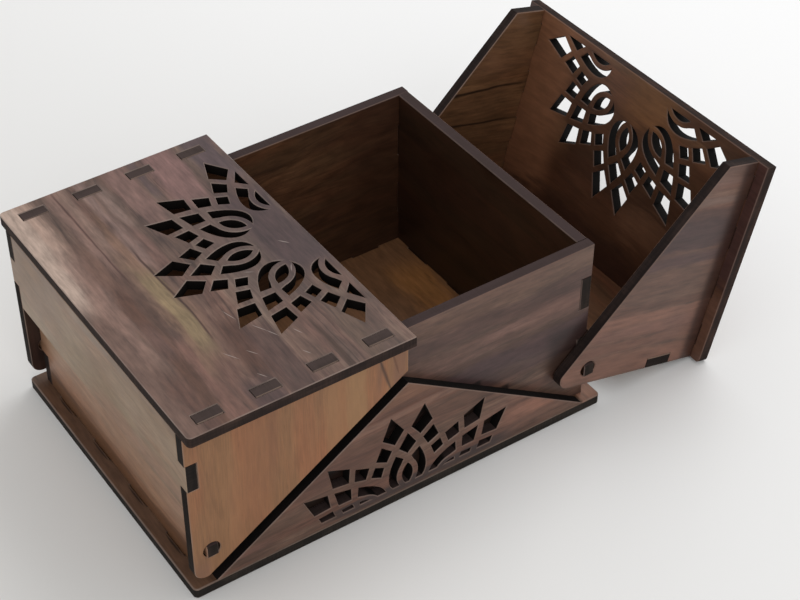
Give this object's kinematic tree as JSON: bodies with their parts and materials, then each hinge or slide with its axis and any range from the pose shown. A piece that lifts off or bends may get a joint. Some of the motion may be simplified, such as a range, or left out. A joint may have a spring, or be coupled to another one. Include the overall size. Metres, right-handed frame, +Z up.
{
  "type": "wooden puzzle box",
  "caption": "Hinged wooden puzzle box of flat laser-cut panels, with a pierced rosette in the lids and in the fixed side triangles; two covers swing open over the ends.",
  "frame": {"origin": "centre of the base plate's underside, on the table", "axes": "+X along the box towards the cover that stands open at rest, +Y to the back, +Z up"},
  "size_m": [0.1633, 0.0928, 0.0593],
  "materials": {
    "dark_base": "dark oiled wood board with burnt edges",
    "walnut": "walnut veneer, satin, burnt edges",
    "walnut_lid": "streaky walnut veneer, satin, burnt edges",
    "olive_walnut": "pale olive walnut veneer, satin, burnt edges",
    "orange_walnut": "orange-tan walnut veneer, satin, burnt edges"
  },
  "bodies": {
    "base": {"base_plate": "dark_base", "inner_front_wall": "walnut", "inner_back_wall": "walnut", "inner_left_wall": "olive_walnut", "inner_right_wall": "olive_walnut", "front_triangle": "walnut", "back_triangle": "walnut"},
    "left_cover": {"left_lid": "walnut_lid", "left_end_wall": "olive_walnut", "left_front_side": "orange_walnut", "left_back_side": "orange_walnut"},
    "right_cover": {"right_lid": "walnut_lid", "right_end_wall": "olive_walnut", "right_front_side": "walnut", "right_back_side": "walnut"}
  },
  "joints": [
    {"name": "left_cover_hinge", "type": "hinge", "parent": "base", "child": "left_cover", "pos_m": [-0.0534, 0, 0.0143], "axis": [0, -1, 0], "range_deg": [0, 103.98]},
    {"name": "right_cover_hinge", "type": "hinge", "parent": "base", "child": "right_cover", "pos_m": [0.0534, 0, 0.0143], "axis": [0, 1, 0], "range_deg": [-103.98, 0]}
  ]
}
